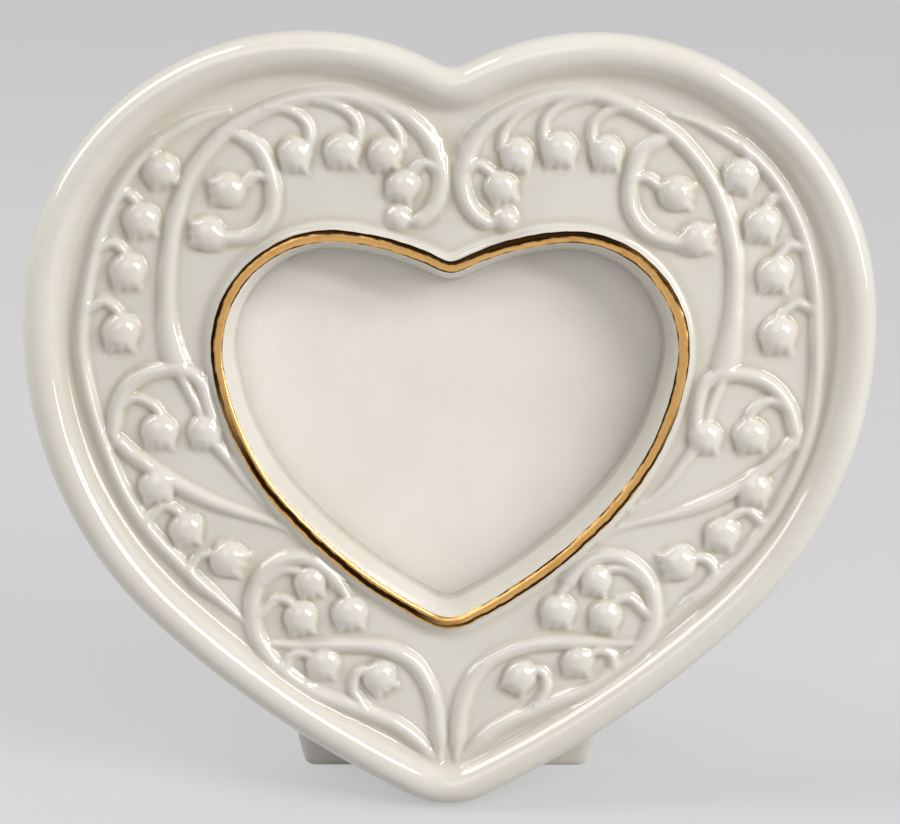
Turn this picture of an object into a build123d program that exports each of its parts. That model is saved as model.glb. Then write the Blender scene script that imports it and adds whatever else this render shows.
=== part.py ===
from build123d import *
import os
from math import copysign, cos, radians, sin, tan

# Heart shaped photo frame in glazed porcelain, in millimetres.
#
# The frame is one casting that leans back on two feet behind its tip. Its front has a half-round rim, a
# sunken field with raised scrolling stems and hanging bell flowers, and a gilded lip round a heart shaped
# opening. A clear window, a blank card and a backing board go into a recess from behind, and four turn
# buttons on screws hold the board in. +Z is up, the front faces -Y, and the origin is on the floor under the
# middle of the frame's bounding box.

# The whole frame
FRAME_WIDTH = 146.2
FRAME_LEAN = 10.0

# Outline: each arc from the tip round to the lobe, its radius as a share of the frame's width and its turn
OUTLINE_RADIUS_SHARES = (0.104, 1.263, 0.485, 0.335)
OUTLINE_TURNS = (26.4, 16.6, 50.5, 65.0)
OUTLINE_DIP_SHARE = 0.034
OUTLINE_DIP_TURN = 27.5

# Opening, measured on the inner edge of the gilded lip
OPENING_WIDTH = 77.9
OPENING_TIP_RISE = 33.4
OPENING_RADIUS_SHARES = (0.084, 1.117, 0.603, 0.241)
OPENING_TURNS = (27.4, 19.9, 33.7, 104.0)
OPENING_DIP_SHARE = 0.066
OPENING_DIP_TURN = 26.5
OPENING_DRAFT = 13.0

# Rim, side and lip
RIM_WIDTH = 6.8
RIM_HEIGHT = 3.8
RIM_SIDES = 5
SIDE_DEPTH = 3.0
SIDE_DRAFT = 12.0
BACK_EDGE_CHAMFER = 1.2
TIP_FLAT_DEPTH = 0.4
LIP_HEIGHT = 2.0
LIP_COVE = 2.2
COVE_SIDES = 2
GILT_WIDTH = 1.9
GILT_THICKNESS = 0.3

# Raised stems and bells on the field
STEM_RADIUS = 1.3
STEM_SIDES = 3
STEM_SINK = 0.5
PEDICEL_RADIUS = 0.9
PEDICEL_SIDES = 2
BELL_LENGTH = 7.4
BELL_WIDTH = 7.4
BELL_HEIGHT = 2.0
BELL_OUTLINE_SHARES = ((-0.5, 0.2), (-0.2, 0.42), (0.5, 0.5), (0.4, 0.2), (0.54, 0.0))
BUD_RADIUS = 2.4
BUD_SIDES = 8
BUD_HEIGHT = 1.6
FLOWER_DRAFT = 24.0

# Feet, measured on the floor from the line where the tip stands
FOOT_SPREAD = 19.0
FOOT_WIDTH = 12.4
FOOT_FRONT = 16.8
FOOT_REACH = 38.0
FOOT_LOW_RISE = 12.0
FOOT_TOP_RISE = 29.0
FOOT_ROOT = 2.0
FOOT_HOLLOW = 2.5
FOOT_TOE = 7.5
FOOT_HEEL = 4.5
FOOT_DRAFT = 8.0
FOOT_BEVEL = 1.3

# Window, card and backing board, from the front
REBATE_DEPTH = 8.0
REBATE_OVERHANG = 2.6
WINDOW_THICKNESS = 1.5
CARD_THICKNESS = 0.5
BOARD_THICKNESS = 3.0
SHEET_CLEARANCE = 0.35
BOARD_CLEARANCE = 0.5

# Turn buttons, their screws and the plugs that the screws bite into
BUTTON_HEADINGS = {"upper": 180.0, "lower": 48.0}
BUTTON_STANDOFF = 6.5
BUTTON_WIDTH = 8.0
BUTTON_REACH = 9.0
BUTTON_THICKNESS = 1.0
BUTTON_TAB_RISE = 1.4
BUTTON_TAB_RUN = 2.4
BUTTON_GAP = 0.1
PIVOT_CLEARANCE = 0.06
SCREW_RADIUS = 1.5
SCREW_LENGTH = 8.0
SCREW_HEAD_RADIUS = 3.0
SCREW_HEAD_HEIGHT = 1.8
SCREW_SIDES = 16
SLOT_WIDTH = 0.9
SLOT_DEPTH = 0.8
PLUG_RADIUS = 3.0
PLUG_SIDES = 6
PLUG_LENGTH = 8.0
GLUE_GAP = 0.06

# Raised stems: places across from the centre line and up from the tip, as shares of the frame's width
STEM_SHARES = {
    "great_scroll": (
        (0.318, 0.524), (0.332, 0.568), (0.337, 0.643), (0.317, 0.729), (0.270, 0.796),
        (0.198, 0.842), (0.113, 0.854), (0.044, 0.827), (0.009, 0.766), (0.018, 0.712),
        (0.051, 0.686), (0.077, 0.706),
    ),
    "inner_curl": (
        (0.267, 0.800), (0.227, 0.788), (0.202, 0.739), (0.212, 0.695), (0.246, 0.678),
        (0.280, 0.680),
    ),
    "rim_vine": (
        (0.274, 0.811), (0.342, 0.791), (0.400, 0.734), (0.434, 0.650), (0.445, 0.561),
        (0.428, 0.455), (0.392, 0.363), (0.332, 0.282), (0.233, 0.202),
    ),
    "low_ring": (
        (0.007, 0.048), (0.062, 0.102), (0.157, 0.134), (0.222, 0.176), (0.246, 0.240),
        (0.222, 0.303), (0.178, 0.312), (0.142, 0.291), (0.128, 0.255),
    ),
    "tip_arch": (
        (0.005, 0.055), (0.009, 0.110), (0.027, 0.161), (0.075, 0.194), (0.137, 0.202),
        (0.233, 0.195),
    ),
    "bud_arch": (
        (0.402, 0.431), (0.395, 0.483), (0.361, 0.520), (0.308, 0.524), (0.283, 0.489),
        (0.282, 0.435), (0.239, 0.372), (0.188, 0.342),
    ),
    "lip_spray": (
        (0.404, 0.448), (0.356, 0.397), (0.287, 0.358), (0.219, 0.341), (0.171, 0.318),
    ),
}

# Bells: where the middle of each lies, which way its mouth points, and the places of its thin stem
BELL_SHARES = (
    ((0.181, 0.775), -90, ((0.212, 0.821), (0.178, 0.827), (0.175, 0.798))),
    ((0.127, 0.780), -90, ((0.157, 0.833), (0.118, 0.832), (0.120, 0.803))),
    ((0.077, 0.777), -90, ((0.096, 0.828), (0.068, 0.820), (0.073, 0.801))),
    ((0.055, 0.741), -60, ((0.018, 0.755), (0.037, 0.766), (0.045, 0.758))),
    ((0.260, 0.734), 0, ((0.209, 0.746), (0.226, 0.742), (0.239, 0.736))),
    ((0.342, 0.756), -100, ((0.325, 0.794), (0.338, 0.788), (0.345, 0.779))),
    ((0.369, 0.702), -90, ((0.400, 0.727), (0.376, 0.736), (0.369, 0.724))),
    ((0.385, 0.640), -90, ((0.426, 0.671), (0.397, 0.678), (0.387, 0.661))),
    ((0.390, 0.568), -90, ((0.436, 0.599), (0.404, 0.605), (0.392, 0.590))),
    ((0.352, 0.447), -90, ((0.389, 0.485), (0.360, 0.490), (0.352, 0.470))),
    ((0.298, 0.446), -90, ((0.317, 0.519), (0.306, 0.493), (0.300, 0.469))),
    ((0.356, 0.381), -90, ((0.383, 0.421), (0.364, 0.414), (0.357, 0.403))),
    ((0.320, 0.331), -90, ((0.369, 0.340), (0.342, 0.360), (0.324, 0.353))),
    ((0.269, 0.297), -150, ((0.280, 0.241), (0.313, 0.274), (0.309, 0.305), (0.287, 0.308))),
    ((0.176, 0.272), -100, ((0.237, 0.269), (0.205, 0.288), (0.182, 0.295))),
    ((0.186, 0.227), -100, ((0.239, 0.233), (0.212, 0.252), (0.192, 0.249))),
    ((0.150, 0.171), -90, ((0.198, 0.166), (0.185, 0.189), (0.155, 0.192))),
    ((0.082, 0.155), -120, ((0.106, 0.120), (0.116, 0.151), (0.096, 0.174))),
)

# Round buds at the free ends of the stems
BUD_SHARES = ((0.077, 0.706), (0.280, 0.680), (0.128, 0.255))


def heart_arcs(width, radius_shares, turns, dip_share, dip_turn):
    """Radius and turn of each arc of a heart's right half, from its tip round to its dip.

    The lobe's radius closes the half on the centre line, and the arcs are scaled to the heart's width.
    """
    heading, across, widest = 0, 0, 0
    for radius, turn in zip(radius_shares, turns):
        if heading < 90 <= heading + turn:
            widest = across + radius * (1 - sin(radians(heading)))
        across += radius * (sin(radians(heading + turn)) - sin(radians(heading)))
        heading += turn
    last = 180 + dip_turn
    lobe = (across + dip_share * sin(radians(last))) / (sin(radians(heading)) - sin(radians(last)))
    arcs = [*zip(radius_shares, turns), (lobe, last - heading), (dip_share, -dip_turn)]
    return [(radius * width / (2 * widest), turn) for radius, turn in arcs]


def heart_point(arcs, tip, heading, grow):
    """The place on a heart's right half where its line runs at this heading, moved outwards by grow."""
    at, across, up = 0, 0, tip
    for radius, turn in arcs:
        end = min(heading, at + turn)
        across += radius * (sin(radians(end)) - sin(radians(at)))
        up += radius * (cos(radians(at)) - cos(radians(end)))
        at = end
        if at == heading:
            break
    return across + grow * sin(radians(heading)), up - grow * cos(radians(heading))


def heart_line(arcs, tip, grow=0):
    """A closed heart, moved outwards all round by grow."""
    with BuildLine() as heart:
        place, along = (0, tip - grow), (1, 0)
        for radius, turn in arcs:
            arc = JernArc(place, along, radius + grow * copysign(1, turn), turn)
            place, along = arc @ 1, arc % 1
        mirror(about=Plane.YZ)
    return Wire(heart.line.edges())


def heart_face(arcs, tip, grow=0, mode=Mode.ADD):
    """Fill a heart in the open sketch, moved outwards all round by grow."""
    make_face(heart_line(arcs, tip, grow).edges(), mode=mode)


def half_round(radius, sides, middle=0, rise=0):
    """Corners of a rounded ridge, drawn as flats, from its right foot over to its left one."""
    corners = [radians(180 * step / sides) for step in range(sides + 1)]
    return [(middle + radius * cos(corner), rise + radius * sin(corner)) for corner in corners]


OUTLINE = heart_arcs(FRAME_WIDTH, OUTLINE_RADIUS_SHARES, OUTLINE_TURNS, OUTLINE_DIP_SHARE, OUTLINE_DIP_TURN)
OPENING = heart_arcs(OPENING_WIDTH, OPENING_RADIUS_SHARES, OPENING_TURNS, OPENING_DIP_SHARE, OPENING_DIP_TURN)

# The face plane lies on the field, leaning back. Its own x runs across, its y up the face and its z forwards.
# It is set so that the feet and the tip's flat stand on the floor and the depth is centred on the origin.
BODY_DEPTH = REBATE_DEPTH + WINDOW_THICKNESS + CARD_THICKNESS + BOARD_THICKNESS
RISE, RUN = cos(radians(FRAME_LEAN)), sin(radians(FRAME_LEAN))
RIM_RADIUS = RIM_WIDTH / 2
RIM_MIDDLE = RIM_HEIGHT - RIM_RADIUS
RIM_CORNERS = half_round(RIM_RADIUS, RIM_SIDES, RIM_RADIUS, RIM_MIDDLE)
FRONT_REACH = min(up * RUN - forward * RISE for up, forward in RIM_CORNERS)
TIP_LINE = SIDE_DEPTH * RISE
FACE_Y = -(FRONT_REACH + TIP_LINE + FOOT_REACH) / 2
FACE_Z = SIDE_DEPTH * RUN - TIP_FLAT_DEPTH
FACE = Plane(origin=(0, FACE_Y, FACE_Z), x_dir=(1, 0, 0), z_dir=(0, -RISE, RUN))
FORWARD = Axis(FACE.origin, FACE.z_dir)
BACK = FACE.offset(-BODY_DEPTH)
SECTION = Plane(origin=FACE.origin, x_dir=FACE.y_dir, z_dir=FACE.x_dir)


def beside(up, forward):
    """The place, as Y and Z, of a point this far up the face and forward of the field."""
    return FACE_Y + up * RUN - forward * RISE, FACE_Z + up * RISE + forward * RUN


def on_field(share):
    """A place on the field from its shares of the frame's width."""
    return share[0] * FRAME_WIDTH, share[1] * FRAME_WIDTH


def bend_radii(places):
    """The largest radius at each inner place that leaves room for the bends beside it."""
    radii = []
    for before, here, after in zip(places, places[1:], places[2:]):
        back, ahead = Vector(*here) - Vector(*before), Vector(*after) - Vector(*here)
        turn = radians(back.get_angle(ahead))
        radii.append(0.45 * min(back.length, ahead.length) / tan(turn / 2))
    return radii


def button_seats():
    """A plane on the back at each turn button's pivot, its x towards the board and its z out of the back."""
    seats = {}
    for level, heading in BUTTON_HEADINGS.items():
        across, up = heart_point(OPENING, OPENING_TIP_RISE, heading, REBATE_OVERHANG + BUTTON_STANDOFF)
        for side, hand in (("right", 1), ("left", -1)):
            inwards = FACE.x_dir * (-hand * sin(radians(heading))) + FACE.y_dir * cos(radians(heading))
            seats[f"{level}_{side}"] = Plane(BACK.from_local_coords((hand * across, up)), inwards, -FACE.z_dir)
    return seats


def ridge(route, radius, sides):
    """A rounded ridge swept along a route on the field, with its foot just below the surface."""
    along = route % 0
    with BuildSketch(Plane(origin=route @ 0, x_dir=FACE.z_dir.cross(along), z_dir=along)) as section:
        with BuildLine():
            crest = Polyline(*half_round(radius, sides))
            Polyline(crest @ 1, (-radius, -STEM_SINK), (radius, -STEM_SINK), crest @ 0)
        make_face()
    return sweep(sections=section.sketch, path=route, transition=Transition.RIGHT, mode=Mode.PRIVATE)


def stem(shares):
    """A raised stem that bends smoothly through its places."""
    places = [on_field(share) for share in shares]
    with BuildLine(FACE) as route:
        FilletPolyline(*places, radius=bend_radii(places))
    return ridge(route.line, STEM_RADIUS, STEM_SIDES)


def pedicel(shares):
    """The thin stem that a bell hangs from, mitred where it bends."""
    with BuildLine(FACE) as route:
        Polyline(*[on_field(share) for share in shares])
    return ridge(route.line, PEDICEL_RADIUS, PEDICEL_SIDES)


def raised(outline, height):
    """A flower raised from its outline just below the field, with drafted sides."""
    with BuildPart() as flower:
        extrude(outline, amount=STEM_SINK + height)
        draft(flower.faces().sort_by(FORWARD)[1:-1], FACE.offset(-STEM_SINK), FLOWER_DRAFT)
    return flower.part


def bell(share, pointing):
    """A bell flower, its scalloped mouth pointing at the given angle."""
    aim = FACE.x_dir * cos(radians(pointing)) + FACE.y_dir * sin(radians(pointing))
    middle = FACE.from_local_coords(on_field(share)) - FACE.z_dir * STEM_SINK
    half = [(along * BELL_LENGTH, across * BELL_WIDTH) for along, across in BELL_OUTLINE_SHARES]
    other_half = [(along, -across) for along, across in half[-2::-1]]
    with BuildSketch(Plane(middle, aim, FACE.z_dir)) as outline:
        with BuildLine():
            Polyline(*half, *other_half, close=True)
        make_face()
    return raised(outline.sketch, BELL_HEIGHT)


def bud(share):
    """A round bud at the free end of a stem."""
    with BuildSketch(FACE.offset(-STEM_SINK)) as outline:
        with Locations(on_field(share)):
            RegularPolygon(BUD_RADIUS, BUD_SIDES)
    return raised(outline.sketch, BUD_HEIGHT)


# Foot, drawn for the right side: the side view gives its slope and the front view its width and draft
with BuildPart() as foot:
    with BuildSketch(Plane.YZ.offset(FOOT_SPREAD)):
        root = FOOT_ROOT - BODY_DEPTH
        low, top = beside(FOOT_LOW_RISE, root), beside(FOOT_TOP_RISE, root)
        tip_line = FACE_Y + TIP_LINE
        toe, heel = (tip_line + FOOT_FRONT, 0), (tip_line + FOOT_REACH, 0)
        toe_top, heel_top = (tip_line + FOOT_FRONT, FOOT_TOE), (tip_line + FOOT_REACH, FOOT_HEEL)
        with BuildLine():
            Polyline(top, low, toe_top, toe, heel, heel_top)
            SagittaArc(heel_top, top, FOOT_HOLLOW)
        make_face()
    extrude(amount=FOOT_WIDTH, both=True)
    with BuildSketch(Plane.XZ):
        height = beside(FOOT_TOP_RISE, root)[1]
        half_floor = FOOT_WIDTH / 2
        half_top = half_floor + height * tan(radians(FOOT_DRAFT))
        with BuildLine():
            Polyline(
                (FOOT_SPREAD - half_floor, 0),
                (FOOT_SPREAD + half_floor, 0),
                (FOOT_SPREAD + half_top, height),
                (FOOT_SPREAD - half_top, height),
                close=True,
            )
        make_face()
    extrude(amount=FRAME_WIDTH, both=True, mode=Mode.INTERSECT)
    rooted = foot.faces().sort_by(FORWARD)[-1].edges()
    chamfer(foot.edges().filter_by(lambda edge: edge not in rooted), FOOT_BEVEL)


LIP_TOP = LIP_HEIGHT - GILT_THICKNESS
BUTTON_SEATS = button_seats()

# Raised work of the right half: the stems, then each bell on its thin stem, then the buds
with BuildPart() as relief:
    stems = [stem(shares) for shares in STEM_SHARES.values()]
    pedicels = [pedicel(shares) for _, _, shares in BELL_SHARES]
    bells = [bell(share, pointing) for share, pointing, _ in BELL_SHARES]
    buds = [bud(share) for share in BUD_SHARES]
    add([*stems, *pedicels, *bells, *buds])

with BuildPart() as porcelain_body:
    # The rounded rim and the side that runs straight back from it
    with BuildSketch(SECTION):
        with BuildLine():
            Polyline(*RIM_CORNERS, (0, -SIDE_DEPTH), (RIM_WIDTH, -SIDE_DEPTH), close=True)
        make_face()
    sweep(path=FACE.location * heart_line(OUTLINE, 0))
    with BuildSketch(FACE):
        heart_face(OUTLINE, 0, -RIM_RADIUS)
    extrude(amount=-SIDE_DEPTH)
    # The back is drafted in
    with BuildSketch(FACE.offset(-SIDE_DEPTH)):
        heart_face(OUTLINE, 0)
    extrude(amount=SIDE_DEPTH - BODY_DEPTH, taper=SIDE_DRAFT)
    chamfer(porcelain_body.faces().sort_by(FORWARD)[0].edges(), BACK_EDGE_CHAMFER)
    # A clear way is cut for the opening, and the recess comes in from behind
    with BuildSketch(FACE):
        heart_face(OPENING, OPENING_TIP_RISE, GILT_WIDTH)
    extrude(amount=-REBATE_DEPTH, mode=Mode.SUBTRACT)
    with BuildSketch(BACK):
        heart_face(OPENING, OPENING_TIP_RISE, REBATE_OVERHANG)
    extrude(amount=BODY_DEPTH - REBATE_DEPTH, mode=Mode.SUBTRACT)
    # The lip rises from the field in a cove, and its inner wall is drafted inwards down to the rebate
    with BuildSketch(Plane(FACE.from_local_coords((0, OPENING_TIP_RISE)), -FACE.y_dir, -FACE.x_dir)):
        with BuildLine():
            corners = [radians(90 * step / COVE_SIDES) for step in range(COVE_SIDES + 1)]
            cove = [
                (GILT_WIDTH + LIP_COVE * (1 - cos(corner)), LIP_TOP * (1 - sin(corner))) for corner in corners
            ]
            wall_foot = -(LIP_TOP + REBATE_DEPTH) * tan(radians(OPENING_DRAFT))
            Polyline(
                (0, LIP_TOP), *cove, (GILT_WIDTH + LIP_COVE, -REBATE_DEPTH), (wall_foot, -REBATE_DEPTH), close=True
            )
        make_face()
    sweep(path=FACE.location * heart_line(OPENING, OPENING_TIP_RISE))
    for seat in BUTTON_SEATS.values():
        with BuildSketch(seat):
            RegularPolygon(PLUG_RADIUS + GLUE_GAP, PLUG_SIDES)
        extrude(amount=-(PLUG_LENGTH + GLUE_GAP), mode=Mode.SUBTRACT)
    # The tip is cut flat where it stands, and the feet and raised work are added on both sides
    split(bisect_by=Plane.XY, keep=Keep.TOP)
    add([foot.part, foot.part.mirror(Plane.YZ), relief.part, relief.part.mirror(Plane.YZ)])

with BuildPart() as gilt_band:
    with BuildSketch(FACE.offset(LIP_TOP)):
        heart_face(OPENING, OPENING_TIP_RISE, GILT_WIDTH)
        heart_face(OPENING, OPENING_TIP_RISE, 0, Mode.SUBTRACT)
    extrude(amount=GILT_THICKNESS)

WINDOW_PLACE = FACE.offset(-REBATE_DEPTH)
with BuildPart() as clear_window:
    with BuildSketch(WINDOW_PLACE):
        heart_face(OPENING, OPENING_TIP_RISE, REBATE_OVERHANG - SHEET_CLEARANCE)
    extrude(amount=-WINDOW_THICKNESS)

with BuildPart() as insert_card:
    with BuildSketch(WINDOW_PLACE.offset(-WINDOW_THICKNESS)):
        heart_face(OPENING, OPENING_TIP_RISE, REBATE_OVERHANG - SHEET_CLEARANCE)
    extrude(amount=-CARD_THICKNESS)

with BuildPart() as backing_board:
    with BuildSketch(BACK):
        heart_face(OPENING, OPENING_TIP_RISE, REBATE_OVERHANG - BOARD_CLEARANCE)
    extrude(amount=BOARD_THICKNESS)

nodes = {
    "porcelain_body": porcelain_body.part,
    "gilt_band": gilt_band.part,
    "clear_window": clear_window.part,
    "insert_card": insert_card.part,
    "backing_board": backing_board.part,
}

for place, seat in BUTTON_SEATS.items():
    # The button is bent up at its tip, so that a fingertip can turn it
    with BuildPart() as turn_button:
        end = BUTTON_REACH + BUTTON_WIDTH / 2
        with BuildSketch(Plane(seat.origin, seat.x_dir, -seat.y_dir)):
            with BuildLine():
                Polyline(
                    (-BUTTON_WIDTH / 2, BUTTON_GAP),
                    (end - BUTTON_TAB_RUN, BUTTON_GAP),
                    (end, BUTTON_GAP + BUTTON_TAB_RISE),
                    (end, BUTTON_GAP + BUTTON_TAB_RISE + BUTTON_THICKNESS),
                    (end - BUTTON_TAB_RUN, BUTTON_GAP + BUTTON_THICKNESS),
                    (-BUTTON_WIDTH / 2, BUTTON_GAP + BUTTON_THICKNESS),
                    close=True,
                )
            make_face()
        extrude(amount=BUTTON_WIDTH / 2, both=True)
        with BuildSketch(seat):
            with Locations((BUTTON_REACH / 2, 0)):
                SlotCenterToCenter(BUTTON_REACH, BUTTON_WIDTH)
        extrude(amount=BUTTON_REACH, mode=Mode.INTERSECT)
        with BuildSketch(seat):
            Circle(SCREW_RADIUS + PIVOT_CLEARANCE)
        extrude(amount=BUTTON_REACH, mode=Mode.SUBTRACT)
    nodes["turn_button_" + place] = turn_button.part

    head_seat = seat.offset(BUTTON_GAP + BUTTON_THICKNESS + BUTTON_GAP)
    with BuildPart() as button_screw:
        with BuildSketch(head_seat):
            RegularPolygon(SCREW_RADIUS, SCREW_SIDES)
        extrude(amount=-SCREW_LENGTH)
        with BuildSketch(head_seat):
            RegularPolygon(SCREW_HEAD_RADIUS, SCREW_SIDES)
        extrude(amount=SCREW_HEAD_HEIGHT)
        head_top = head_seat.offset(SCREW_HEAD_HEIGHT)
        with BuildSketch(head_top):
            Rectangle(SCREW_HEAD_RADIUS * 2, SLOT_WIDTH)
        extrude(amount=-SLOT_DEPTH, mode=Mode.SUBTRACT)
    nodes["button_screw_" + place] = button_screw.part

    with BuildPart() as screw_plug:
        with BuildSketch(seat):
            RegularPolygon(PLUG_RADIUS, PLUG_SIDES)
            Circle(SCREW_RADIUS + PIVOT_CLEARANCE, mode=Mode.SUBTRACT)
        extrude(amount=-PLUG_LENGTH)
    nodes["screw_plug_" + place] = screw_plug.part

os.makedirs("parts", exist_ok=True)
for name, part in nodes.items():
    part.label = name
    export_step(part, f"parts/{name}.step")
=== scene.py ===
"""Heart shaped photo frame in glazed porcelain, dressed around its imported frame."""
from math import cos, pi, radians, sin, sqrt, tan

import bmesh
import bpy
import numpy as np
from mathutils import Matrix, Quaternion, Vector


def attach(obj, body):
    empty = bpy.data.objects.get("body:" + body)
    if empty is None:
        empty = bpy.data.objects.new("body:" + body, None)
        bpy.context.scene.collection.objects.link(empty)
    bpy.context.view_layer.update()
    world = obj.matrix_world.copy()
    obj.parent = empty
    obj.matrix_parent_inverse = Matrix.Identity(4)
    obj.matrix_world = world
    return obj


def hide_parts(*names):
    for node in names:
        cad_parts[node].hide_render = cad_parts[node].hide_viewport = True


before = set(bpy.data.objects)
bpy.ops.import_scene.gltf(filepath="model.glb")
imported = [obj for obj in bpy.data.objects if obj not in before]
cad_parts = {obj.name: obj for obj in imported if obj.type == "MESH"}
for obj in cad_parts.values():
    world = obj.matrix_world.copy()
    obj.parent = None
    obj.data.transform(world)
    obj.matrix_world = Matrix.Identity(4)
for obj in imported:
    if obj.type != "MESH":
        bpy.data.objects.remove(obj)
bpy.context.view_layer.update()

# Places on the frame are in millimetres: across from the centre line, up the face from the heart's tip, and
# forwards from the field. The face leans back.
MM = 0.001
LEAN = 10.0
BODY = "frame"

# Outline and opening: the radius of each arc as a share of the half width, and its turn
FRAME_WIDTH = 146.2
OUTLINE_RADIUS_SHARES = (0.104, 1.263, 0.485, 0.335)
OUTLINE_TURNS = (26.4, 16.6, 50.5, 65.0)
OUTLINE_DIP = (0.034, 27.5)
OPENING_WIDTH = 77.9
OPENING_TIP_RISE = 33.4
OPENING_RADIUS_SHARES = (0.084, 1.117, 0.603, 0.241)
OPENING_TURNS = (27.4, 19.9, 33.7, 104.0)
OPENING_DIP = (0.066, 26.5)

# Depths of the casting
BODY_DEPTH = 13.0
SIDE_DEPTH = 3.0
SIDE_DRAFT = 12.0
BACK_EDGE_ROUND = 1.2
TIP_FLAT_DEPTH = 0.4
FACE_SETBACK = 18.892
REBATE_DEPTH = 8.0
REBATE_OVERHANG = 2.6
SHEET_CLEARANCE = 0.35
SHEET_GAP = 0.05
WINDOW_THICKNESS = 1.5
CARD_THICKNESS = 0.5
OPENING_DRAFT = 13.0
GILT_WIDTH = 1.9
LIP_HEIGHT = 1.85
LIP_COVE = 2.2
RIM_REACH = 9.0

# Rim, from the field outwards to the side: distance in from the outline, and height
RIM_PROFILE = (
    (9.0, 0.0), (8.3, 0.03), (7.7, 0.16), (7.15, 0.5), (6.65, 1.1), (6.1, 1.9), (5.5, 2.65), (4.9, 3.2),
    (4.1, 3.6), (3.2, 3.75), (2.3, 3.62), (1.5, 3.15), (0.8, 2.35), (0.25, 1.05), (0.0, -0.9),
)

# Counts of the casting's mesh, and how many of its places are worked on at once
COLUMNS = 920
FIELD_ROWS = 68
BATCH = 4000

# The camera of the photograph, and its picture in pixels
VIEW_ELEVATION = 18.5
VIEW_YAW = 1.0
VIEW_ROLL = 0.35
VIEW_DISTANCE = 550.0
VIEW_CENTRE_RISE = 69.06
PIXELS_PER_MM = 5.83
PICTURE_WIDTH = 900
SENSOR_WIDTH = 36.0

# Raised stems of one half, with their places up from a line this far above the tip. The lower relief of both
# halves lies a little to the right of the centre line.
TRACE_RISE = 3.06
LOW_DRIFT = 0.9
STEMS = {
    "great_scroll": (
        (46.8, 74), (47.7, 77), (48.5, 82), (48.6, 90), (47.3, 98), (44.8, 105), (41, 110.5), (36, 115),
        (30, 118.3), (24, 120.1), (18, 120.2), (12, 118.7), (7, 116.1), (3.6, 112.2), (1.9, 107.5),
        (2.0, 103.8), (3.5, 100.6), (6, 98.8), (8.9, 99.4),
    ),
    "inner_curl": (
        (39, 113.7), (37, 113.5), (33, 111.5), (31, 108), (30.2, 104), (30.7, 100.3), (33, 97.2),
        (36.5, 95.7), (40, 95.6),
    ),
    "rim_vine": (
        (37.5, 117.2), (43, 115.6), (49, 112.2), (53.5, 107.8), (57.3, 102.3), (60.5, 95.2), (62.5, 86.5),
        (63.1, 78), (62.4, 70), (60.6, 61.5), (57.2, 52.6), (52.3, 44.8), (46.4, 38.3), (40.5, 33.2),
        (35, 28.2),
    ),
    "low_ring": (
        (1.4, 4), (8, 10.3), (16, 14), (24, 17.3), (30, 21.5), (33.6, 26.3), (34.7, 31.6), (33.5, 36.8),
        (30.2, 40), (26, 40.7), (22.2, 39), (19.8, 36.2), (18.6, 34),
    ),
    "tip_arch": (
        (1.4, 5), (1.6, 9), (2.2, 14), (3.6, 18.3), (6.2, 22), (10, 24.2), (14, 25.2), (18, 25.5),
        (23, 25.4), (28, 25.2), (32, 25.4),
    ),
    "bud_arch": (
        (58.8, 60), (58.2, 64), (57.2, 67.5), (55, 70.5), (52, 72.3), (48.5, 73), (45.3, 72.6), (43, 71),
        (41.9, 68.2), (41.4, 65), (41, 60.5), (38.5, 57), (36, 53.5), (33.5, 50.8), (30.5, 48.8),
    ),
    "lip_spray": (
        (59, 62.5), (57, 60.2), (54.5, 57.8), (51.5, 55.5), (48, 53), (44, 50.9), (40, 49.3), (36, 48),
        (32, 46.8), (28, 45.3), (25, 43.5),
    ),
}

# The share of its way over which each stem thins out, at its start and at its end
STEM_TAPERS = {
    "great_scroll": (0.0, 0.04), "inner_curl": (0.2, 0.04), "rim_vine": (0.08, 0.1), "low_ring": (0.1, 0.04),
    "tip_arch": (0.1, 0.3), "bud_arch": (0.06, 0.45), "lip_spray": (0.06, 0.6),
}

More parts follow.
